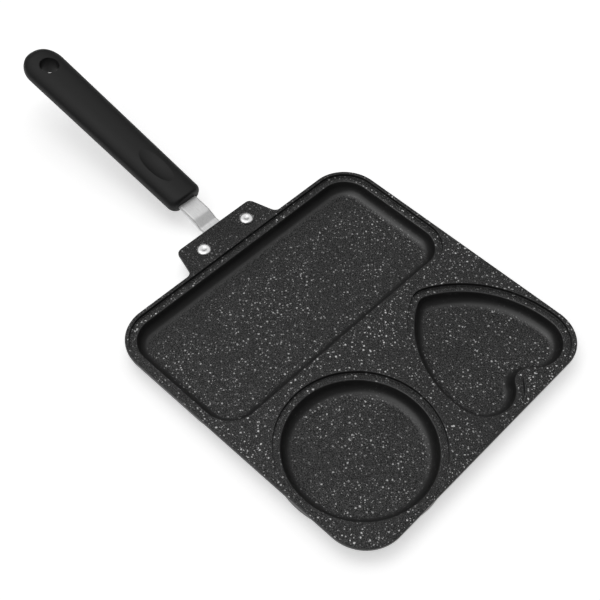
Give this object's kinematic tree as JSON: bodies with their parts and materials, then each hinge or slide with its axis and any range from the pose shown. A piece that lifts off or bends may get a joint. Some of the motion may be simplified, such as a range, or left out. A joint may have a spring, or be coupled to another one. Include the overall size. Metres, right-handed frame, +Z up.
{
  "type": "divided_frying_pan",
  "caption": "Divided frying pan with a rectangular, a round and a heart-shaped well in one cast plate, a riveted steel bracket and a rising moulded grip with a hanging hole",
  "frame": {"origin": "middle of the whole part's box seen from above, on the ground that the wells' floors rest on", "axes": "+X away from the grip along the part's length, +Y towards the heart-shaped well, +Z up out of the wells"},
  "size_m": [0.4682, 0.24, 0.0556],
  "materials": {
    "coating": "charcoal non-stick coating over cast aluminium, with fine grey specks and scattered white ones",
    "bracket_steel": "satin pressed steel",
    "rivet_metal": "bright, lightly polished aluminium",
    "grip_plastic": "matte black moulded plastic",
    "screw_steel": "plain zinc-coated steel"
  },
  "bodies": {
    "root": {"pan_body": "coating", "handle_bracket": "bracket_steel", "rivets": "rivet_metal", "handle_grip": "grip_plastic", "grip_screw": "screw_steel"}
  },
  "joints": []
}
